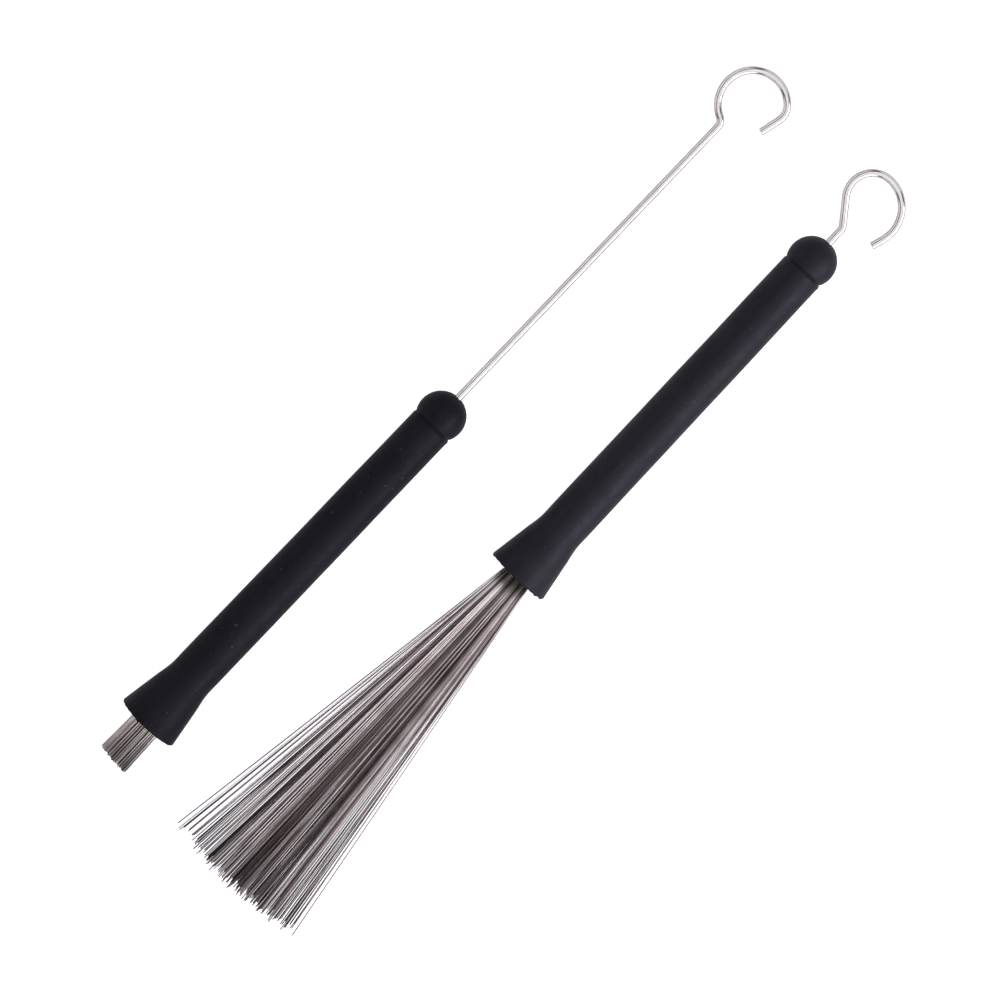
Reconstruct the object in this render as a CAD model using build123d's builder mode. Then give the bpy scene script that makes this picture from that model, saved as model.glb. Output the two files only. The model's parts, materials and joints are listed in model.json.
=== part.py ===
from build123d import *
from math import acos, atan2, cos, hypot, radians, sin, tan
from random import Random
import os

# A pair of retractable wire drum brushes, lying side by side on a flat surface.
# Brush a is retracted: its wires are drawn into the handle and its rod stands out of the ball end.
# Brush b is extended: its wires fan out of the flared mouth and its hook sits close to the ball.
#
# Millimetres. Row frame: +X runs along brush a from its wires to its hook, +Z is up, and the
# origin is at the centre of the pair's footprint. Places on a brush are stations along its axis,
# counted from the flat rim of the mouth (0) towards the hook.

# Rubber grip
rim_radius = 10.6
rim_round = 0.5
flare_angle = 9.2
flare_end = 16.0
sleeve_start = 20.5
sleeve_radius = 7.5
neck_station = 129.6
neck_radius = 7.2
crease_radius = 7.0
ball_station = 134.5
ball_radius = 8.0
mouth_radius = 7.4
mouth_depth = 7.0

# Inner tube
tube_end = 134.0
tube_radius = 6.25
tube_bore = 5.8
lip_length = 0.8
lip_bore = 5.5

# Rod and its bend, with the detent's station when the wires are extended
rod_radius = 1.3
rod_clearance = 0.05
bend_radius = 3.0
detent_station = 40.0
detent_width = 0.8
detent_radius = 1.15
end_chamfer = 0.25

# Rod bushing
bushing_length = 3.8
flange_length = 1.5
lead_in = 0.4

# Ferrule, plunger and friction ring, at their stations when the wires are extended
ferrule_station = 3.0
ferrule_length = 5.0
ferrule_radius = 5.2
ferrule_chamfer = 0.2
slot_depth = 4.0
slot_width = 9.3
slot_height = 2.4
plunger_length = 7.0
plunger_radius = 5.65
plunger_chamfer = 0.5
groove_offset = 2.6
groove_width = 1.9
groove_radius = 4.2
ring_width = 1.7
ring_gap = 0.04

# Wires: even_share is how much of their spread is even, the rest crowding them to the middle
travel = 115.0
wire_radius = 0.175
wire_layers = 6
wire_lanes = 19
layer_pitch = 0.38
root_half_width = 3.75
root_gap = 0.03
even_share = 0.7
sectors = {"right": range(0, 6), "centre": range(6, 13), "left": range(13, 19)}

# How the pair lies: brush b's rim from brush a's, brush b's turn, and the footprint's centre
rim_b_x = 115.0
rim_b_y = -52.1
turn_b = 0.89
centre_x = 133.44
centre_y = -34.45

# The hooks, bent by hand. Each has the station of its bend's corner when the wires are extended, a
# short leg out to the left, a round loop back over the axis, a closing curve and a straight tail
hook_a = {
    "corner": 146.2,
    "leg_angle": 62,
    "leg": 2.2,
    "loop_radius": 10.8,
    "loop_sweep": 199,
    "close_radius": 5.5,
    "close_sweep": 56,
    "tail": 6.9,
}
hook_b = {
    "corner": 148.6,
    "leg_angle": 37,
    "leg": 9.8,
    "loop_radius": 8.2,
    "loop_sweep": 131,
    "close_radius": 11.7,
    "close_sweep": 103,
    "tail": 4.0,
}

# What differs between the two brushes: where each lies, how far its wires are drawn in from the
# extended state, its hook, and the reach, unevenness and half sizes of its wires' tips
brushes = {
    "a": {
        "rim": (0, 0),
        "turn": 0,
        "shift": travel,
        "hook": hook_a,
        "fan": {"reach": 15.3, "bulge": 0.4, "uneven": 0.4, "half_width": 5.35, "half_height": 1.0},
    },
    "b": {
        "rim": (rim_b_x, rim_b_y),
        "turn": turn_b,
        "shift": 0,
        "hook": hook_b,
        "fan": {"reach": 129.6, "bulge": 3.4, "uneven": 1.0, "half_width": 25.2, "half_height": 2.2},
    },
}

ferrule_end = ferrule_station + ferrule_length
plunger_end = ferrule_end + plunger_length
rod_start = plunger_end - plunger_length / 2
slot_floor = ferrule_station + slot_depth
seat_end = tube_end + flange_length
rod_hole = rod_radius + 2 * rod_clearance

# The axis leans so that the rim's widest circle and the ball both touch the surface
base = ball_station - rim_round
lean = acos(ball_radius / hypot(rim_radius, base)) - atan2(base, rim_radius)
rim_height = rim_radius * cos(lean) + rim_round * sin(lean)


def brush_plane(rim, turn):
    """A brush's own plane: X along its axis to the hook, Y across, Z up, origin in its rim."""
    heading = radians(turn)
    across = Vector(-sin(heading), cos(heading), 0)
    along = Vector(cos(lean) * cos(heading), cos(lean) * sin(heading), -sin(lean))
    rim_centre = (rim[0] - centre_x, rim[1] - centre_y, rim_height)
    return Plane(origin=rim_centre, x_dir=along, z_dir=along.cross(across))


def station_plane(lay, station):
    """Plane square to a brush's axis, with X across, Y up and its normal towards the hook."""
    origin = lay.from_local_coords(Vector(station, 0, 0))
    return Plane(origin=origin, x_dir=lay.y_dir, z_dir=lay.x_dir)


def axis_of(lay):
    return Axis(lay.origin, lay.x_dir)


def write(builder, name):
    builder.part.label = name
    export_step(builder.part, f"parts/{name}.step")


def write_grip(lay, name):
    """Rubber handle: flared mouth, long sleeve and ball end in one moulding."""
    with BuildPart() as grip:
        with BuildSketch(lay):
            with BuildLine():
                foot = ball_station - (ball_radius**2 - crease_radius**2) ** 0.5
                face = Line((0, 0), (0, rim_radius - rim_round))
                edge = JernArc(face @ 1, (0, 1), rim_round, -90 - flare_angle)
                flare_run = (flare_end - (edge @ 1).X) / cos(radians(flare_angle))
                flare = PolarLine(edge @ 1, flare_run, -flare_angle)
                sleeve_slope = (sleeve_radius - neck_radius) / (neck_station - sleeve_start)
                sleeve_tangent = (1, -sleeve_slope)
                Spline(flare @ 1, (sleeve_start, sleeve_radius), tangents=[flare % 1, sleeve_tangent])
                Line((sleeve_start, sleeve_radius), (neck_station, neck_radius))
                Spline(
                    (neck_station, neck_radius),
                    (foot, crease_radius),
                    tangents=[sleeve_tangent, (0.3, -1)],
                )
                ball_tip = (ball_station + ball_radius, 0)
                ThreePointArc((foot, crease_radius), (ball_station, ball_radius), ball_tip)
                Line(ball_tip, (0, 0))
            make_face()
        revolve(axis=axis_of(lay))
        with BuildSketch(lay):
            with BuildLine():
                bell = Spline((0, mouth_radius), (mouth_depth, tube_radius), tangents=[(1, -0.4), (1, 0)])
                Polyline(bell @ 1, (seat_end, tube_radius), (seat_end, 0), (0, 0), bell @ 0)
            make_face()
        revolve(axis=axis_of(lay), mode=Mode.SUBTRACT)
        with BuildSketch(station_plane(lay, seat_end)):
            Circle(rod_hole)
        extrude(amount=2 * ball_radius, mode=Mode.SUBTRACT)
    write(grip, name)


def write_tube(lay, name):
    """Aluminium tube inside the grip, its front edge rolled in to a lip."""
    with BuildPart() as tube:
        with BuildSketch(station_plane(lay, mouth_depth)):
            Circle(tube_radius)
            Circle(tube_bore, mode=Mode.SUBTRACT)
        extrude(amount=tube_end - mouth_depth)
        with BuildSketch(station_plane(lay, mouth_depth)):
            Circle(tube_bore)
            Circle(lip_bore, mode=Mode.SUBTRACT)
        extrude(amount=lip_length)
        front_face = tube.faces().sort_by(axis_of(lay))[0]
        fillet(front_face.inner_wires()[0].edges(), lip_length / 3)
    write(tube, name)


def write_bushing(lay, name):
    """Nylon end plug: a spigot in the tube and a flange behind it, bored for the rod."""
    front = tube_end - bushing_length
    bore = rod_radius + rod_clearance
    with BuildPart() as bushing:
        with BuildSketch(lay):
            with BuildLine():
                Polyline(
                    (front, bore),
                    (front, tube_bore - lead_in),
                    (front + lead_in, tube_bore),
                    (tube_end, tube_bore),
                    (tube_end, tube_radius),
                    (seat_end, tube_radius),
                    (seat_end, bore),
                    close=True,
                )
            make_face()
        revolve(axis=axis_of(lay))
    write(bushing, name)


def write_plunger(lay, shift, name):
    """Nylon slug on the rod's inner end, grooved for the friction ring and bored for the rod."""
    groove_middle = ferrule_end + shift + groove_offset + groove_width / 2
    groove_depth = plunger_radius - groove_radius
    with BuildPart() as plunger:
        with BuildSketch(station_plane(lay, ferrule_end + shift)):
            Circle(plunger_radius)
        extrude(amount=plunger_length)
        chamfer(plunger.edges().filter_by(GeomType.CIRCLE), plunger_chamfer)
        with BuildSketch(lay):
            with Locations((groove_middle, plunger_radius)):
                Rectangle(groove_width, 2 * groove_depth)
        revolve(axis=axis_of(lay), mode=Mode.SUBTRACT)
        with BuildSketch(station_plane(lay, rod_start + shift)):
            Circle(rod_radius)
        extrude(amount=plunger_length, mode=Mode.SUBTRACT)
    write(plunger, name)


def write_ring(lay, shift, name):
    """Rubber ring that rides in the plunger's groove and drags on the tube."""
    middle = ferrule_end + shift + groove_offset + groove_width / 2
    inner = groove_radius + ring_gap
    outer = tube_bore - ring_gap
    with BuildPart() as ring:
        with BuildSketch(lay):
            with Locations((middle, (inner + outer) / 2)):
                RectangleRounded(ring_width, outer - inner, ring_width / 3)
        revolve(axis=axis_of(lay))
    write(ring, name)


def write_ferrule(lay, shift, name):
    """Brass cup in front of the plunger, with the flat slot that holds the wires' ends."""
    front = station_plane(lay, ferrule_station + shift)
    with BuildPart() as ferrule:
        with BuildSketch(front):
            Circle(ferrule_radius)
        extrude(amount=ferrule_length)
        chamfer(ferrule.edges().filter_by(GeomType.CIRCLE), ferrule_chamfer)
        with BuildSketch(front):
            RectangleRounded(slot_width, slot_height, slot_height / 6)
        extrude(amount=slot_depth, mode=Mode.SUBTRACT)
    write(ferrule, name)


def hook_route(start, corner, hook):
    """Centre line of the rod: shank, bend, leg, loop, closing curve and tail."""
    trim = bend_radius * tan(radians(hook["leg_angle"] / 2))
    with BuildLine() as route:
        shank = Line((start, 0), (corner - trim, 0))
        bend = JernArc(shank @ 1, shank % 1, bend_radius, hook["leg_angle"])
        leg = Line(bend @ 1, (bend @ 1) + (bend % 1) * (hook["leg"] - trim))
        loop = JernArc(leg @ 1, leg % 1, hook["loop_radius"], -hook["loop_sweep"])
        close = JernArc(loop @ 1, loop % 1, hook["close_radius"], -hook["close_sweep"])
        Line(close @ 1, (close @ 1) + (close % 1) * hook["tail"])
    return route.wires()[0]


def write_rod(lay, shift, hook, name):
    """Plated wire rod, its end bent into an open hook and cut square, with a shallow detent ring."""
    start = rod_start + shift
    route = lay.from_local_coords(hook_route(start, hook["corner"] + shift, hook))
    with BuildPart() as rod:
        with BuildSketch(station_plane(lay, start)):
            Circle(rod_radius)
        sweep(path=route)
        chamfer(rod.faces().filter_by(GeomType.PLANE).edges(), end_chamfer)
        with BuildSketch(lay):
            with Locations((detent_station + shift, rod_radius)):
                Rectangle(detent_width, 2 * (rod_radius - detent_radius))
        revolve(axis=axis_of(lay), mode=Mode.SUBTRACT)
    write(rod, name)


def write_wires(lay, shift, fan, lanes, name):
    """One sector of the wires: straight strands that spread from the slot to the fan's edge."""
    chance = Random(name)
    with BuildPart() as wires:
        for layer in range(wire_layers):
            rise = 2 * layer / (wire_layers - 1) - 1
            for lane in lanes:
                side = 2 * lane / (wire_lanes - 1) - 1
                root_x = slot_floor + shift - root_gap
                root_z = (layer - (wire_layers - 1) / 2) * layer_pitch
                root = Vector(root_x, root_half_width * side, root_z)
                reach = fan["reach"] + fan["bulge"] * (1 - side**2) + fan["uneven"] * chance.uniform(-1, 1)
                tip_y = fan["half_width"] * (even_share * side + (1 - even_share) * side**3)
                tip = Vector(-reach, tip_y, fan["half_height"] * rise)
                start = lay.from_local_coords(root)
                run = lay.from_local_coords(tip) - start
                with BuildSketch(Plane(origin=start, z_dir=run)):
                    Circle(wire_radius)
                extrude(amount=run.length)
    write(wires, name)


os.makedirs("parts", exist_ok=True)
for tag, brush in brushes.items():
    lay = brush_plane(brush["rim"], brush["turn"])
    shift = brush["shift"]
    write_grip(lay, f"grip_{tag}")
    write_tube(lay, f"inner_tube_{tag}")
    write_bushing(lay, f"rod_bushing_{tag}")
    write_plunger(lay, shift, f"plunger_{tag}")
    write_ring(lay, shift, f"friction_ring_{tag}")
    write_ferrule(lay, shift, f"ferrule_{tag}")
    write_rod(lay, shift, brush["hook"], f"pull_rod_{tag}")
    for sector, lanes in sectors.items():
        write_wires(lay, shift, brush["fan"], lanes, f"wires_{sector}_{tag}")
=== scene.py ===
import json
from math import acos, asin, ceil, cos, exp, pi, radians, sin, sqrt, tan
from random import Random

import bmesh
import bpy
from mathutils import Matrix, Vector, noise


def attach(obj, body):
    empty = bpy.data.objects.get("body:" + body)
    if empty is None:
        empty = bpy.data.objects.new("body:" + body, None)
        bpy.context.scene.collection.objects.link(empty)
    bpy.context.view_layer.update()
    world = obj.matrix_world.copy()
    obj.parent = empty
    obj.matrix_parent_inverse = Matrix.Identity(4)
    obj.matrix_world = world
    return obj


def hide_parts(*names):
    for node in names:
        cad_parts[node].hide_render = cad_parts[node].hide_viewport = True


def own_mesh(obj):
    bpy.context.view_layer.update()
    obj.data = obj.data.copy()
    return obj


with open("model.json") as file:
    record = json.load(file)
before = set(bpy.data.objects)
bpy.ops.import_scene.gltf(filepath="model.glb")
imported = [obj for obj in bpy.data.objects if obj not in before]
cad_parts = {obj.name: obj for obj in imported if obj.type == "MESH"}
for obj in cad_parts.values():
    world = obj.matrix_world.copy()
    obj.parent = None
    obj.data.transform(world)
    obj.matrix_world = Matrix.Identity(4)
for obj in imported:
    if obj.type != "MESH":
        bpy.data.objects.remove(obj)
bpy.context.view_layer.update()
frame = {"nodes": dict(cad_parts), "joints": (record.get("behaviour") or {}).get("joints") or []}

# A pair of retractable wire drum brushes: a is retracted, b is extended. Metres, row frame.
# Places on a brush are stations along its axis, from the flat rim of the mouth towards the hook.
MM = 0.001
BALL_STATION = 134.5 * MM
BALL_RADIUS = 8.0 * MM
TRAVEL = 115 * MM
SLOT_FLOOR = 6.9 * MM

joints = {joint["name"]: joint for joint in frame["joints"]}


# ---------------------------------------------------------------- brush frames

class Brush:
    """A brush's own frame: x along its axis to the hook, y across to the left, z up."""

    def __init__(self, tag, drawn_in):
        spin = joints[f"spin_{tag}"]
        self.tag = tag
        self.shift = drawn_in
        self.along = Vector(spin["axis"]).normalized()
        self.across = Vector((0, 0, 1)).cross(self.along).normalized()
        self.up = self.along.cross(self.across)
        self.rim = Vector(spin["pos_m"]) - self.along * BALL_STATION
        self.unit = f"brush_unit_{tag}"
        self.handle = f"handle_{tag}"

    def place(self, x, y=0.0, z=0.0):
        return self.rim + self.along * x + self.across * y + self.up * z

    def direction(self, x, y, z=0.0):
        return self.along * x + self.across * y + self.up * z


brush_a = Brush("a", TRAVEL)
brush_b = Brush("b", 0.0)


# ---------------------------------------------------------------- mesh helpers

def mesh_object(name, bm, smooth=True):
    bmesh.ops.recalc_face_normals(bm, faces=bm.faces)
    mesh = bpy.data.meshes.new(name)
    bm.to_mesh(mesh)
    bm.free()
    if smooth:
        mesh.polygons.foreach_set("use_smooth", [True] * len(mesh.polygons))
    piece = bpy.data.objects.new(name, mesh)
    bpy.context.scene.collection.objects.link(piece)
    return piece


def lathe(bm, brush, outline, segments, wobble):
    """Turns a closed outline of (station, radius) about the brush's axis, pushed about by wobble."""
    rings = []
    for x, r in outline:
        ring = []
        for k in range(segments):
            turn = 2 * pi * k / segments
            out, forward = wobble(x, r, turn)
            radius = r + out
            ring.append(bm.verts.new(brush.place(x + forward, radius * cos(turn), radius * sin(turn))))
        rings.append(ring)
    for near, far in zip(rings, rings[1:] + rings[:1]):
        for k in range(segments):
            after = (k + 1) % segments
            bm.faces.new((near[k], near[after], far[after], far[k]))


def tube_along(bm, points, radii, sides):
    """A round tube through points, capped at both ends, its frame carried along without twist."""
    rings = []
    tangent = (points[1] - points[0]).normalized()
    side = tangent.orthogonal().normalized()
    for i, point in enumerate(points):
        ahead = points[min(i + 1, len(points) - 1)]
        behind = points[max(i - 1, 0)]
        tangent = (ahead - behind).normalized()
        side = (side - tangent * side.dot(tangent)).normalized()
        other = tangent.cross(side)
        ring = []
        for k in range(sides):
            turn = 2 * pi * k / sides
            ring.append(bm.verts.new(point + (side * cos(turn) + other * sin(turn)) * radii[i]))
        rings.append(ring)
    for near, far in zip(rings, rings[1:]):
        for k in range(sides):
            after = (k + 1) % sides
            bm.faces.new((near[k], near[after], far[after], far[k]))
    bm.faces.new(list(reversed(rings[0])))
    bm.faces.new(rings[-1])


# ---------------------------------------------------------------- materials

class Nodes:
    """Short words for building a material's nodes."""

    def __init__(self, name):
        self.material = bpy.data.materials.new(name)
        self.material.use_nodes = True
        self.tree = self.material.node_tree
        self.shader = self.tree.nodes["Principled BSDF"]
        self.where = self.tree.nodes.new("ShaderNodeTexCoord").outputs["Object"]

    def set(self, **values):
        for name, value in values.items():
            self.shader.inputs[name.replace("_", " ")].default_value = value

    def noise(self, scale, detail=3.0, rough=0.5, stretch=None):
        node = self.tree.nodes.new("ShaderNodeTexNoise")
        node.inputs["Scale"].default_value = scale
        node.inputs["Detail"].default_value = detail
        node.inputs["Roughness"].default_value = rough
        place = self.where
        if stretch:
            mapping = self.tree.nodes.new("ShaderNodeMapping")
            mapping.inputs["Scale"].default_value = stretch
            self.tree.links.new(place, mapping.inputs["Vector"])
            place = mapping.outputs["Vector"]
        self.tree.links.new(place, node.inputs["Vector"])
        return node.outputs["Fac"]

    def along(self, low, high):
        """Runs from 0 to 1 as x goes from low to high."""
        split = self.tree.nodes.new("ShaderNodeSeparateXYZ")
        span = self.tree.nodes.new("ShaderNodeMapRange")
        span.inputs["From Min"].default_value = low
        span.inputs["From Max"].default_value = high
        self.tree.links.new(self.where, split.inputs[0])
        self.tree.links.new(split.outputs["X"], span.inputs["Value"])
        return span.outputs["Result"]

    def ramp(self, value, *stops):
        node = self.tree.nodes.new("ShaderNodeValToRGB")
        self.tree.links.new(value, node.inputs["Fac"])
        elements = node.color_ramp.elements
        while len(elements) < len(stops):
            elements.new(0.5)
        for element, (at, colour) in zip(elements, stops):
            element.position = at
            rgb = colour if isinstance(colour, tuple) else (colour, colour, colour)
            element.color = (*rgb, 1)
        return node.outputs["Color"]

    def mix(self, share, first, second):
        node = self.tree.nodes.new("ShaderNodeMix")
        node.data_type = "RGBA"
        sockets = (node.inputs[0], node.inputs[6], node.inputs[7])
        for socket, value in zip(sockets, (share, first, second)):
            if isinstance(value, bpy.types.NodeSocket):
                self.tree.links.new(value, socket)
            elif isinstance(value, tuple):
                socket.default_value = (*value, 1)
            else:
                socket.default_value = value
        return node.outputs[2]

    def link(self, value, name):
        self.tree.links.new(value, self.shader.inputs[name])

    def bump(self, height, strength, distance):
        node = self.tree.nodes.new("ShaderNodeBump")
        node.inputs["Strength"].default_value = strength
        node.inputs["Distance"].default_value = distance
        self.tree.links.new(height, node.inputs["Height"])
        self.tree.links.new(node.outputs["Normal"], self.shader.inputs["Normal"])


def rubber_material(name, sheen):
    nodes = Nodes(name)
    nodes.set(Specular_IOR_Level=sheen, Specular_Tint=(0.84, 0.79, 1.0, 1))
    cloud = nodes.noise(55, 5, 0.65)
    base = nodes.ramp(cloud, (0.3, (0.0030, 0.0030, 0.0046)), (0.7, (0.0078, 0.0074, 0.0110)))
    specks = nodes.ramp(nodes.noise(900, 1, 0.4), (0.75, 0.0), (0.775, 0.6))
    nodes.link(nodes.mix(specks, base, (0.060, 0.060, 0.070)), "Base Color")
    nodes.link(nodes.ramp(nodes.noise(240, 5, 0.65), (0.25, 0.43), (0.75, 0.62)), "Roughness")
    nodes.bump(nodes.noise(1000, 5, 0.65), 0.30, 0.0003)
    return nodes.material


# Where along x the fan's wires show only their own tone and where they take the full painted light of
# the root tones
PAINTED_LIGHT_NONE_X = -0.145
PAINTED_LIGHT_FULL_X = -0.015


def steel_wire_material(name, dark, light, painted_root_dark=None, painted_root_light=None):
    """Spring steel wire. With root tones it is painted lighter towards its root: painted light where
    the bell's shade falls.
    """
    nodes = Nodes(name)
    nodes.set(Metallic=1.0, Roughness=0.36)
    streak = nodes.noise(60, 3, 0.55)
    blot = nodes.noise(110, 3, 0.6)
    tone = nodes.ramp(streak, (0.3, dark), (0.7, light))
    if painted_root_dark:
        # Painted light: lighter root tones, mixed in more towards the wire's root
        painted_root_tone = nodes.ramp(streak, (0.3, painted_root_dark), (0.7, painted_root_light))
        tone = nodes.mix(nodes.along(PAINTED_LIGHT_NONE_X, PAINTED_LIGHT_FULL_X), tone, painted_root_tone)
    stain = nodes.ramp(blot, (0.5, 0.0), (0.8, 0.4))
    nodes.link(nodes.mix(stain, tone, (0.20, 0.145, 0.12)), "Base Color")
    nodes.link(nodes.ramp(blot, (0.3, 0.30), (0.7, 0.46)), "Roughness")
    return nodes.material


def plated_material():
    nodes = Nodes("nickel_plate")
    nodes.set(Metallic=1.0)
    cloud = nodes.noise(140, 4, 0.6)
    base = nodes.ramp(cloud, (0.3, (0.70, 0.665, 0.655)), (0.7, (0.82, 0.785, 0.775)))
    nodes.link(base, "Base Color")
    nodes.link(nodes.ramp(nodes.noise(800, 3, 0.6), (0.3, 0.10), (0.75, 0.24)), "Roughness")
    nodes.bump(nodes.noise(1500, 3, 0.6, (0.3, 1, 1)), 0.10, 0.00005)
    return nodes.material


def plain_metal_material(name, dark, light, rough_low, rough_high):
    nodes = Nodes(name)
    nodes.set(Metallic=1.0)
    nodes.link(nodes.ramp(nodes.noise(120, 4, 0.6), (0.3, dark), (0.7, light)), "Base Color")
    nodes.link(nodes.ramp(nodes.noise(900, 3, 0.6), (0.3, rough_low), (0.7, rough_high)), "Roughness")
    nodes.bump(nodes.noise(2400, 2, 0.5, (1, 0.1, 1)), 0.12, 0.00004)
    return nodes.material


def nylon_material():
    nodes = Nodes("natural_nylon")
    nodes.set(Roughness=0.42, Subsurface_Weight=0.12, Subsurface_Scale=0.002)
    cloud = nodes.noise(160, 3, 0.5)
    nodes.link(nodes.ramp(cloud, (0.3, (0.68, 0.66, 0.58)), (0.7, (0.76, 0.74, 0.67))), "Base Color")
    nodes.bump(nodes.noise(1800, 3, 0.5), 0.1, 0.00005)
    return nodes.material


def ring_material():
    nodes = Nodes("ring_rubber")
    nodes.set(Roughness=0.38)
    cloud = nodes.noise(400, 3, 0.5)
    base = nodes.ramp(cloud, (0.3, (0.010, 0.010, 0.011)), (0.7, (0.022, 0.022, 0.024)))
    nodes.link(base, "Base Color")
    nodes.bump(nodes.noise(3000, 2, 0.5), 0.1, 0.00004)
    return nodes.material


# Lit and shaded copies of one rubber: a's lower sheen is painted shade for the weaker light on its
# handle
rubbers = {"a": rubber_material("handle_rubber_a", 0.15), "b": rubber_material("handle_rubber_b", 0.30)}
nickel = plated_material()
aluminium = plain_metal_material("drawn_aluminium", (0.60, 0.60, 0.61), (0.72, 0.72, 0.73), 0.28, 0.42)
brass = plain_metal_material("aged_brass", (0.24, 0.19, 0.13), (0.36, 0.29, 0.20), 0.30, 0.46)
solder = plain_metal_material("dull_solder", (0.30, 0.30, 0.31), (0.46, 0.46, 0.47), 0.38, 0.58)
nylon = nylon_material()
ring_rubber = ring_material()
# Lit and shaded copies of one steel: the bundle's tones are painted lighter and the fan's darker, and
# the near-black dark tones are painted shade between wires
bundle_steels = [
    steel_wire_material("bundle_steel_dark", (0.020, 0.016, 0.016), (0.060, 0.048, 0.048)),
    steel_wire_material("bundle_steel_mid", (0.24, 0.205, 0.20), (0.42, 0.36, 0.355)),
    steel_wire_material("bundle_steel_light", (0.62, 0.55, 0.54), (0.92, 0.83, 0.82)),
]
# The root tones below are painted light, brightening the fan's wires near the bell where its shade
# falls
fan_steels = [
    steel_wire_material(
        "fan_steel_dark",
        dark=(0.012, 0.009, 0.009),
        light=(0.050, 0.040, 0.041),
        painted_root_dark=(0.08, 0.07, 0.07),
        painted_root_light=(0.21, 0.19, 0.19),
    ),
    steel_wire_material(
        "fan_steel_mid",
        dark=(0.13, 0.102, 0.104),
        light=(0.26, 0.206, 0.210),
        painted_root_dark=(0.42, 0.36, 0.365),
        painted_root_light=(0.64, 0.56, 0.57),
    ),
    steel_wire_material(
        "fan_steel_light",
        dark=(0.46, 0.395, 0.405),
        light=(0.76, 0.67, 0.69),
        painted_root_dark=(0.80, 0.725, 0.74),
        painted_root_light=(0.94, 0.87, 0.89),
    ),
]


def paint(piece, material):
    piece.data.materials.clear()
    piece.data.materials.append(material)


def paint_node(name, material):
    """Gives a CAD node's object its finish without touching its mesh."""
    node = frame["nodes"][name]
    for place in node.material_slots:
        place.link = "OBJECT"
        place.material = material


for brush in (brush_a, brush_b):
    paint_node(f"inner_tube_{brush.tag}", aluminium)
    paint_node(f"rod_bushing_{brush.tag}", nylon)
    paint_node(f"plunger_{brush.tag}", nylon)
    paint_node(f"friction_ring_{brush.tag}", ring_rubber)
    paint_node(f"ferrule_{brush.tag}", brass)


# ---------------------------------------------------------------- rubber grips

RIM_RADIUS = 10.6 * MM
RIM_ROUND = 0.5 * MM
FLARE_END = 13.5 * MM
FLARE_ANGLE = radians(9.2)
SLEEVE_START = 24.0 * MM
SLEEVE_RADIUS = 7.5 * MM
NECK_STATION = 129.6 * MM
NECK_RADIUS = 7.2 * MM
CREASE_RADIUS = 7.0 * MM
CREASE_DEPTH = 0.20 * MM
CREASE_HALF = 0.28 * MM
CREASE_EVEN = 0.62
CREASE_UNEVEN = 0.45
CREASE_SIDE = 2.2
SHOULDER_HEIGHT = 0.10 * MM
SHOULDER_GAP = 0.95 * MM
SHOULDER_HALF = 0.45 * MM
MOUTH_RADIUS = 7.4 * MM
MOUTH_DEPTH = 7.0 * MM
SEAT_RADIUS = 6.27 * MM
SEAT_END = 135.5 * MM
ROD_HOLE = 1.4 * MM
HOLE_FLARE = 0.35 * MM
HOLE_EDGE = 0.12 * MM
HOLE_EDGE_GAP = 0.1 * MM
HOLE_THROAT = 0.4 * MM
RING_STEP = 0.8 * MM
RIM_STEPS = 8
CREASE_STEPS = 20
BALL_STEPS = 24
BORE_STEPS = 12
MOUTH_STEPS = 8
GRIP_SEGMENTS = 128
SKIN = 0.6 * MM
SWELL_HEIGHT = 0.07 * MM
SWELLS_ALONG = 45
SWELLS_ROUND = 0.9
RAGGEDNESS = 0.16 * MM
RAGS_ROUND = 7
NIB_HEIGHT = 0.45 * MM
NIB_WIDTH = radians(2.6)
BALL_FOOT = BALL_STATION - sqrt(BALL_RADIUS**2 - CREASE_RADIUS**2)


def ease(t):
    return t * t * (3 - 2 * t)


def crease_relief(x, turn):
    """The outside's dip at the ball's foot and the swell before it, deepest at the upper right."""
    dip = (x - BALL_FOOT) / CREASE_HALF
    swell = (x - BALL_FOOT + SHOULDER_GAP) / SHOULDER_HALF
    depth = CREASE_EVEN + CREASE_UNEVEN * cos(turn - CREASE_SIDE)
    return depth * (SHOULDER_HEIGHT * exp(-swell * swell) - CREASE_DEPTH * exp(-dip * dip))


def outer_radius(x):
    """Radius of the grip's outside at a station between the rim's round and the ball's tip."""
    flare = RIM_RADIUS - (x - RIM_ROUND) * tan(FLARE_ANGLE)
    if x < FLARE_END:
        return flare
    taper = (NECK_RADIUS - SLEEVE_RADIUS) * (x - SLEEVE_START) / (NECK_STATION - SLEEVE_START)
    sleeve = SLEEVE_RADIUS + taper
    if x < SLEEVE_START:
        return flare + (sleeve - flare) * ease((x - FLARE_END) / (SLEEVE_START - FLARE_END))
    if x < NECK_STATION:
        return sleeve
    if x < BALL_FOOT:
        return sleeve + (CREASE_RADIUS - sleeve) * ease((x - NECK_STATION) / (BALL_FOOT - NECK_STATION))
    return sqrt(max(BALL_RADIUS**2 - (x - BALL_STATION) ** 2, 0))


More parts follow.
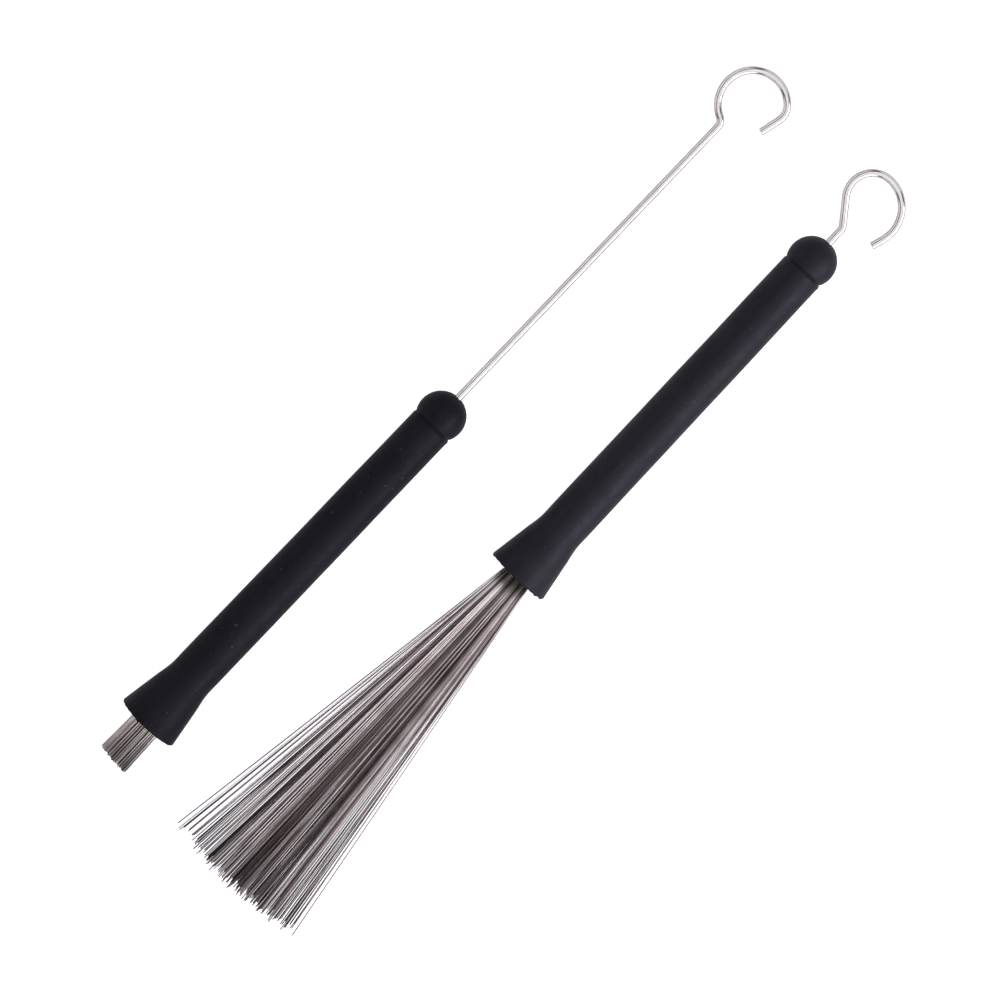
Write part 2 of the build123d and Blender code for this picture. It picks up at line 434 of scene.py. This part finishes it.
def grip_outline():
    """Closed outline of (station, radius): rim, outside, ball, rod hole, tube seat and bell mouth."""
    outline = []
    for k in range(RIM_STEPS + 1):
        turn = (pi / 2 + FLARE_ANGLE) * k / RIM_STEPS
        out = RIM_RADIUS - RIM_ROUND + RIM_ROUND * sin(turn)
        outline.append((RIM_ROUND - RIM_ROUND * cos(turn), out))
    steps = ceil((NECK_STATION - RIM_ROUND) / RING_STEP)
    for k in range(1, steps):
        x = RIM_ROUND + (NECK_STATION - RIM_ROUND) * k / steps
        outline.append((x, outer_radius(x)))
    crease_end = BALL_FOOT + 3 * CREASE_HALF
    for k in range(CREASE_STEPS):
        x = NECK_STATION + (crease_end - NECK_STATION) * k / CREASE_STEPS
        outline.append((x, outer_radius(x)))
    first = pi - acos((BALL_STATION - crease_end) / BALL_RADIUS)
    last = asin((ROD_HOLE + HOLE_FLARE) / BALL_RADIUS)
    for k in range(BALL_STEPS + 1):
        turn = first + (last - first) * k / BALL_STEPS
        outline.append((BALL_STATION + BALL_RADIUS * cos(turn), BALL_RADIUS * sin(turn)))
    hole_lip = BALL_STATION + BALL_RADIUS * cos(last)
    outline.append((hole_lip - HOLE_EDGE, ROD_HOLE + HOLE_EDGE_GAP))
    outline.append((hole_lip - HOLE_THROAT, ROD_HOLE))
    outline.append((SEAT_END, ROD_HOLE))
    outline.append((SEAT_END, SEAT_RADIUS))
    for k in range(1, BORE_STEPS):
        outline.append((SEAT_END + (MOUTH_DEPTH - SEAT_END) * k / BORE_STEPS, SEAT_RADIUS))
    for k in range(MOUTH_STEPS + 1):
        t = k / MOUTH_STEPS
        bell = SEAT_RADIUS + (MOUTH_RADIUS - SEAT_RADIUS) * t * t
        outline.append((MOUTH_DEPTH * (1 - t), bell))
    outline.append((0, (MOUTH_RADIUS + RIM_RADIUS - RIM_ROUND) / 2))
    return outline


def make_grip(brush, seed, nibs):
    """The moulded handle: slightly uneven, with a trimmed rim that has nibs of flash left on it."""
    def wobble(x, r, turn):
        if r < outer_radius(min(max(x, RIM_ROUND), BALL_STATION)) - SKIN:
            return 0, 0
        spot = Vector((x * SWELLS_ALONG, cos(turn) * SWELLS_ROUND, sin(turn) * SWELLS_ROUND + seed))
        proud = 0
        if x < 2 * RIM_ROUND:
            rag = Vector((cos(turn) * RAGS_ROUND, sin(turn) * RAGS_ROUND, seed))
            proud = RAGGEDNESS * noise.noise(rag)
            for nib in nibs:
                proud += NIB_HEIGHT * exp(-(((turn - radians(nib)) / NIB_WIDTH) ** 2))
        return SWELL_HEIGHT * noise.noise(spot) + crease_relief(x, turn), -proud

    bm = bmesh.new()
    lathe(bm, brush, grip_outline(), GRIP_SEGMENTS, wobble)
    grip = mesh_object(f"rubber_grip_{brush.tag}", bm)
    paint(grip, rubbers[brush.tag])
    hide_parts(f"grip_{brush.tag}")
    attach(grip, brush.handle)


make_grip(brush_a, 3.1, (75, 205))
make_grip(brush_b, 8.7, (12, 68, 140, 163))


# ---------------------------------------------------------------- rods and hooks

ROD_RADIUS = 1.3 * MM
ROD_START = 11.5 * MM
BEND_RADIUS = 3.0 * MM
DETENT_STATION = 40.0 * MM
DETENT_HALF = 0.28 * MM
DETENT_DEPTH = 0.10 * MM
# The next three are in half widths of the detent
DETENT_EDGES = (-1.4, -1.0, -0.6, 0.6, 1.0, 1.4)
DETENT_REACH = 1.3
DETENT_RAMP = 0.4
PINCH_HALF = 0.4 * MM
PINCH_DEPTH = 0.035 * MM
END_CHAMFER = 0.25 * MM
ROD_SIDES = 40
PATH_STEP = 0.35 * MM
SHANK_STEP = 1.0 * MM
# Angles in degrees, the rest in millimetres; corner is the bend's station while the wires are out
HOOKS = {
    "a": {
        "corner": 146.2,
        "leg_angle": 62,
        "leg": 2.2,
        "loop_radius": 10.8,
        "loop_sweep": 199,
        "close_radius": 5.5,
        "close_sweep": 56,
        "tail": 6.9,
        "pinch": 5.0,
    },
    "b": {
        "corner": 148.6,
        "leg_angle": 37,
        "leg": 9.8,
        "loop_radius": 8.2,
        "loop_sweep": 131,
        "close_radius": 11.7,
        "close_sweep": 103,
        "tail": 4.0,
        "pinch": 27.0,
    },
}


def hook_path(hook, corner):
    """Points along the rod in its own plane as (x, y, run): shank, bend, leg, loop, close and tail."""
    x = ROD_START + corner - hook["corner"] * MM
    y, heading, run = 0.0, 0.0, 0.0
    points = [(x, y, run)]

    def straight(length, step):
        nonlocal x, y, run
        count = max(1, ceil(length / step))
        for _ in range(count):
            x += length / count * cos(heading)
            y += length / count * sin(heading)
            run += length / count
            points.append((x, y, run))

    def arc(radius, sweep):
        nonlocal x, y, heading, run
        count = max(4, ceil(radius * abs(sweep) / PATH_STEP))
        chord = 2 * radius * sin(abs(sweep) / count / 2)
        for _ in range(count):
            heading += sweep / count / 2
            x += chord * cos(heading)
            y += chord * sin(heading)
            heading += sweep / count / 2
            run += radius * abs(sweep) / count
            points.append((x, y, run))

    angle = radians(hook["leg_angle"])
    trim = BEND_RADIUS * tan(angle / 2)
    straight(corner - trim - x, SHANK_STEP)
    arc(BEND_RADIUS, angle)
    bend_end = run
    straight(hook["leg"] * MM - trim, PATH_STEP)
    arc(hook["loop_radius"] * MM, -radians(hook["loop_sweep"]))
    arc(hook["close_radius"] * MM, -radians(hook["close_sweep"]))
    straight(hook["tail"] * MM, PATH_STEP / 2)
    return points, bend_end


def make_rod(brush):
    """Bright plated wire with its hook, a shallow detent ring and a faint pinch mark on the loop."""
    hook = HOOKS[brush.tag]
    path, bend_end = hook_path(hook, hook["corner"] * MM + brush.shift)
    detent = DETENT_STATION - ROD_START
    for edge in DETENT_EDGES:
        at = detent + edge * DETENT_HALF
        path.append((ROD_START + brush.shift + at, 0.0, at))
    path.sort(key=lambda point: point[2])
    total = path[-1][2]
    pinch = bend_end + hook["pinch"] * MM
    points, radii = [], []
    for x, y, run in path:
        radius = ROD_RADIUS
        groove = abs(run - detent) / DETENT_HALF
        if groove < DETENT_REACH:
            radius -= DETENT_DEPTH * min(1, (DETENT_REACH - groove) / DETENT_RAMP)
        radius -= PINCH_DEPTH * exp(-(((run - pinch) / PINCH_HALF) ** 2))
        end_gap = min(run, total - run)
        if end_gap < END_CHAMFER:
            radius -= END_CHAMFER - end_gap
        points.append(brush.place(x, y))
        radii.append(radius)
    bm = bmesh.new()
    tube_along(bm, points, radii, ROD_SIDES)
    rod = mesh_object(f"hooked_rod_{brush.tag}", bm)
    paint(rod, nickel)
    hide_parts(f"pull_rod_{brush.tag}")
    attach(rod, brush.unit)


make_rod(brush_a)
make_rod(brush_b)


# ---------------------------------------------------------------- wires

WIRE_RADIUS = 0.172 * MM
WIRE_SIDES = 8
WIRE_STEPS = 6
LOCKS = 26
ROOT_HALF_WIDTH = 3.75 * MM
ROOT_HALF_HEIGHT = 0.98 * MM
LOCK_SCATTER = 0.25
KEEP = 0.6
GIVE = 1 - KEEP
STEEPEST = 0.6
TILT_ROUNDS = 30
FAN_SLOPE = 0.1565
FAN_SLOPE_SCATTER = 0.0020
FAN_LENGTH = 136.5 * MM
FAN_RAGGEDNESS = 1.1 * MM
FAN_BULGE = 3.4 * MM
FAN_RISE = 2.2 * MM
FAN_RISE_SCATTER = 0.5 * MM
FAN_FLATNESS = 0.6
FAN_BOW = 0.22 * MM
BUNDLE_SLOPE = 0.0110
BUNDLE_SLOPE_SCATTER = 0.0060
BUNDLE_LENGTH = 137.8 * MM
BUNDLE_RAGGEDNESS = 0.22 * MM
BUNDLE_RISE = 0.35 * MM
BUNDLE_RISE_SCATTER = 0.3 * MM
BUNDLE_BOW = 0.08 * MM
BUNDLE_SPLAY = 0.35 * MM
BUNDLE_SKEW = 0.75 * MM
# Wire tones, drawn from at random: 0 is dark, 1 is mid and 2 is light; the dark tone is painted shade
# for the gaps between wires
LEFT_TONES = (0, 0, 1, 1, 2, 2)
MIDDLE_TONES = (0, 0, 1, 1, 1, 2)
RIGHT_TONES = (0, 0, 1, 1, 2)
MIDDLE_START = -0.55
MIDDLE_END = 0.12
BUNDLE_TONES = (0, 1, 2, 2, 2, 2, 2, 2)
SHADOW_TONES = (0, 0, 0, 0, 1)
SHADOW_LOCKS = (2, 5, 8, 10, 13, 17, 22)
FAN_CROWDING = 12.0
BUNDLE_CROWDING = 9.2
FEWEST = 1.1
CROWD_SCATTER = 0.9
DENSEST = -0.20
LEFT_THINNING = 0.78
RIGHT_THINNING = 0.60
THINNING_POWER = 2.6
RIGHT_SECTOR = 6 / 19
LEFT_SECTOR = 13 / 19


def lock_side(index):
    """How far across the fan a lock lies, from -1 on the right to 1 on the left."""
    return (2 * index + 1) / LOCKS - 1


def lock_counts(chance, crowding):
    """Wires in each lock: few at the edges, most just right of the middle."""
    counts = []
    for index in range(LOCKS):
        off = lock_side(index) - DENSEST
        crowd = exp(-abs(off / (LEFT_THINNING if off > 0 else RIGHT_THINNING)) ** THINNING_POWER)
        count = FEWEST + crowding * crowd + chance.uniform(-CROWD_SCATTER, CROWD_SCATTER)
        counts.append(max(1, round(count)))
    return counts


def tilt_axis(brush, slope):
    """Direction to squash along so that a lock which lies along the axis (brush a) opens to a slope, or
    one that lies at a slope (brush b) closes to the axis, as the brush slides to its other end."""
    if brush is brush_a:
        lean = 0.0
        for _ in range(TILT_ROUNDS):
            lean = slope * (1 - GIVE * sin(lean) ** 2) / (GIVE * cos(lean))
            lean = asin(max(-STEEPEST, min(STEEPEST, lean)))
        return brush.direction(sin(lean), cos(lean))
    lean = -slope * (1 / GIVE - 1)
    return brush.direction(lean, 1.0)


def fan_wire(side, level, chance):
    """Length, sideways slope, rise and bow of one wire of the open fan."""
    length = FAN_LENGTH + FAN_BULGE * (1 - side * side) + chance.gauss(0, FAN_RAGGEDNESS)
    slope = FAN_SLOPE * side + chance.gauss(0, FAN_SLOPE_SCATTER)
    stray = chance.uniform(-FAN_RISE_SCATTER, FAN_RISE_SCATTER)
    rise = FAN_RISE * level * (1 - FAN_FLATNESS * side * side) + stray
    return length, slope, rise, chance.gauss(0, FAN_BOW)


def bundle_wire(side, level, chance):
    """The same for one wire of the closed bundle."""
    length = BUNDLE_LENGTH - BUNDLE_SKEW * side + chance.gauss(0, BUNDLE_RAGGEDNESS)
    stray = chance.uniform(-BUNDLE_SLOPE_SCATTER, BUNDLE_SLOPE_SCATTER)
    slope = BUNDLE_SLOPE * side + stray * (1 - side * side)
    rise = BUNDLE_RISE * level + chance.uniform(-BUNDLE_RISE_SCATTER, BUNDLE_RISE_SCATTER)
    return length, slope, rise, chance.gauss(0, BUNDLE_BOW)


def wire_points(brush, root, shape, splay):
    """Points along one wire from its root to its tip, which splays on past the handle's mouth."""
    length, slope, rise, bow = shape
    points = []
    for i in range(WIRE_STEPS + 1):
        t = i / WIRE_STEPS
        across = root.y + slope * length * t + bow * 4 * t * (1 - t)
        if i == WIRE_STEPS:
            across += splay
        points.append(brush.place(root.x - length * t, across, root.z + rise * t))
    return points


def fan_tones(side):
    if side > MIDDLE_END:
        return LEFT_TONES
    return MIDDLE_TONES if side > MIDDLE_START else RIGHT_TONES


def bundle_tones(index):
    return SHADOW_TONES if index in SHADOW_LOCKS else BUNDLE_TONES


def make_lock(brush, index, first, count, total, chance):
    """One lock of wires as one piece, open on brush b and closed on brush a; rank is a wire's place in
    the slot.
    """
    open_now = brush is brush_b
    root_x = SLOT_FLOOR + brush.shift
    lock_y = ROOT_HALF_WIDTH * (2 * (first + count / 2) / total - 1)
    tones = fan_tones(lock_side(index)) if open_now else bundle_tones(index)
    bm = bmesh.new()
    for k in range(count):
        stray = chance.uniform(-LOCK_SCATTER, LOCK_SCATTER)
        side = lock_side(index) + ((2 * k + 1) / count - 1 + stray) / LOCKS
        level = chance.uniform(-1, 1)
        rank = 2 * (first + k + 0.5) / total - 1
        root = Vector((root_x, ROOT_HALF_WIDTH * rank, ROOT_HALF_HEIGHT * level))
        shape = fan_wire(side, level, chance) if open_now else bundle_wire(side, level, chance)
        before = len(bm.faces)
        splay = 0 if open_now else BUNDLE_SPLAY * side
        points = wire_points(brush, root, shape, splay)
        tube_along(bm, points, [WIRE_RADIUS] * len(points), WIRE_SIDES)
        bm.faces.ensure_lookup_table()
        tone = chance.choice(tones)
        for face in bm.faces[before:]:
            face.material_index = tone
    lock = mesh_object(f"wire_lock_{brush.tag}_{index:02d}", bm)
    for material in fan_steels if open_now else bundle_steels:
        lock.data.materials.append(material)
    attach(lock, brush.unit)
    axis = tilt_axis(brush, FAN_SLOPE * lock_side(index))
    anchor = brush.place(root_x, lock_y)
    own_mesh(lock)
    share = (first + count / 2) / total
    sector = "right" if share < RIGHT_SECTOR else "left" if share >= LEFT_SECTOR else "centre"
    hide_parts(f"wires_{sector}_{brush.tag}")


for brush, seed, crowding in ((brush_a, 11, BUNDLE_CROWDING), (brush_b, 12, FAN_CROWDING)):
    chance = Random(seed)
    counts = lock_counts(chance, crowding)
    first = 0
    for index, count in enumerate(counts):
        make_lock(brush, index, first, count, sum(counts), chance)
        first += count


# ---------------------------------------------------------------- ferrule fill

FERRULE_FRONT = 3.0 * MM
FILL_SET_BACK = 0.25 * MM
FILL_HALF_WIDTH = 4.62 * MM
FILL_HALF_HEIGHT = 1.17 * MM
FILL_CUTS = 9
LUMP_HEIGHT = 0.16 * MM
LUMPS_ACROSS = 6
LUMPS_HIGH = 2
DIP_DEPTH = 0.14 * MM


def make_fill(brush, seed):
    """Solder that fills the ferrule's slot round the wires, with a slightly sunken, lumpy face."""
    bm = bmesh.new()
    bmesh.ops.create_cube(bm, size=2)
    bmesh.ops.subdivide_edges(bm, edges=bm.edges, cuts=FILL_CUTS, use_grid_fill=True)
    front = FERRULE_FRONT + FILL_SET_BACK + brush.shift
    depth = SLOT_FLOOR - FERRULE_FRONT - FILL_SET_BACK
    for vert in bm.verts:
        x, y, z = vert.co
        lump = noise.noise(Vector((y * LUMPS_ACROSS, z * LUMPS_HIGH, seed))) * LUMP_HEIGHT
        dip = DIP_DEPTH * (1 - y * y) * (1 - z * z)
        shut = (1 - x) / 2
        along = front + depth * (1 + x) / 2 + (lump + dip) * shut
        vert.co = brush.place(along, y * FILL_HALF_WIDTH, z * FILL_HALF_HEIGHT)
    fill = mesh_object(f"solder_fill_{brush.tag}", bm)
    paint(fill, solder)
    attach(fill, brush.unit)


make_fill(brush_a, 5.2)
make_fill(brush_b, 9.4)


# ---------------------------------------------------------------- floor, light and camera

FLOOR_SIZE = 3.0
FLOOR_DROP = 0.2 * MM
GLOW_IN_REFLECTIONS = 0.28
WORLD_STRENGTH = 0.12


def floor_material():
    """Overexposed white sweep: it shows white, but throws no more light back than pale card does."""
    material = bpy.data.materials.new("white_sweep")
    material.use_nodes = True
    tree = material.node_tree
    tree.nodes.clear()
    out = tree.nodes.new("ShaderNodeOutputMaterial")
    card = tree.nodes.new("ShaderNodeBsdfDiffuse")
    card.inputs["Color"].default_value = (0.55, 0.55, 0.56, 1)
    glow = tree.nodes.new("ShaderNodeEmission")
    glow.inputs["Color"].default_value = (0.84, 0.825, 0.88, 1)
    both = tree.nodes.new("ShaderNodeAddShader")
    seen = tree.nodes.new("ShaderNodeLightPath")
    strength = tree.nodes.new("ShaderNodeMath")
    strength.operation = "MULTIPLY_ADD"
    strength.inputs[1].default_value = GLOW_IN_REFLECTIONS
    tree.links.new(seen.outputs["Is Glossy Ray"], strength.inputs[0])
    tree.links.new(seen.outputs["Is Camera Ray"], strength.inputs[2])
    tree.links.new(strength.outputs[0], glow.inputs["Strength"])
    tree.links.new(glow.outputs[0], both.inputs[0])
    tree.links.new(card.outputs[0], both.inputs[1])
    tree.links.new(both.outputs[0], out.inputs["Surface"])
    return material


def make_floor():
    bm = bmesh.new()
    bmesh.ops.create_grid(bm, x_segments=2, y_segments=2, size=FLOOR_SIZE)
    floor = mesh_object("floor", bm, smooth=False)
    floor.location.z = -FLOOR_DROP
    paint(floor, floor_material())


AIM = Vector((-0.0052, 0.0029, 0.008))
CAMERA_DISTANCE = 1.5
CAMERA_LEAN = radians(6.0)
PIXELS_PER_METRE = 3190
IMAGE_SIZE = 1000
SENSOR = 36.0
RIGHT = Vector((cos(radians(46)), -sin(radians(46)), 0))


def make_camera():
    """Looks down on the pair from nearly overhead, a little towards the hooks' end."""
    back = Vector((sin(CAMERA_LEAN), 0, cos(CAMERA_LEAN)))
    right = (RIGHT - back * RIGHT.dot(back)).normalized()
    up = back.cross(right)
    camera = bpy.data.objects.new("camera", bpy.data.cameras.new("camera"))
    bpy.context.scene.collection.objects.link(camera)
    camera.data.sensor_width = SENSOR
    camera.data.lens = SENSOR * PIXELS_PER_METRE * CAMERA_DISTANCE / IMAGE_SIZE
    place = AIM + back * CAMERA_DISTANCE
    camera.matrix_world = Matrix.Translation(place) @ Matrix((right, up, back)).transposed().to_4x4()
    bpy.context.scene.camera = camera


def make_panel(name, place, width, height, glow, tint=(1, 1, 1)):
    """A soft rectangular lamp that faces the pair; glow is how bright its face is."""
    lamp = bpy.data.lights.new(name, "AREA")
    lamp.shape = "RECTANGLE"
    lamp.size = width
    lamp.size_y = height
    lamp.energy = glow * pi * width * height
    lamp.color = tint
    panel = bpy.data.objects.new(name, lamp)
    panel.location = place
    panel.visible_camera = False
    panel.rotation_euler = (AIM - Vector(place)).to_track_quat("-Z", "Y").to_euler()
    bpy.context.scene.collection.objects.link(panel)


def make_world():
    world = bpy.data.worlds.new("studio")
    world.use_nodes = True
    background = world.node_tree.nodes["Background"]
    background.inputs["Color"].default_value = (0.92, 0.94, 1, 1)
    background.inputs["Strength"].default_value = WORLD_STRENGTH
    bpy.context.scene.world = world


make_floor()
make_camera()
make_panel("right_panel", (0.0, -0.78, 0.44), 1.8, 0.56, 3.6, (1, 0.985, 0.99))
make_panel("top_panel", (0.0, -0.10, 1.0), 1.8, 0.86, 0.95)
make_panel("left_panel", (0.0, 0.78, 0.50), 1.8, 0.60, 0.90, (1, 0.96, 0.97))
make_panel("hook_panel", (1.1, 0.0, 0.50), 0.9, 0.6, 0.9)
make_panel("tip_panel", (-1.1, 0.0, 0.50), 0.9, 0.6, 0.9)
make_world()
bpy.context.scene.view_settings.view_transform = "Standard"
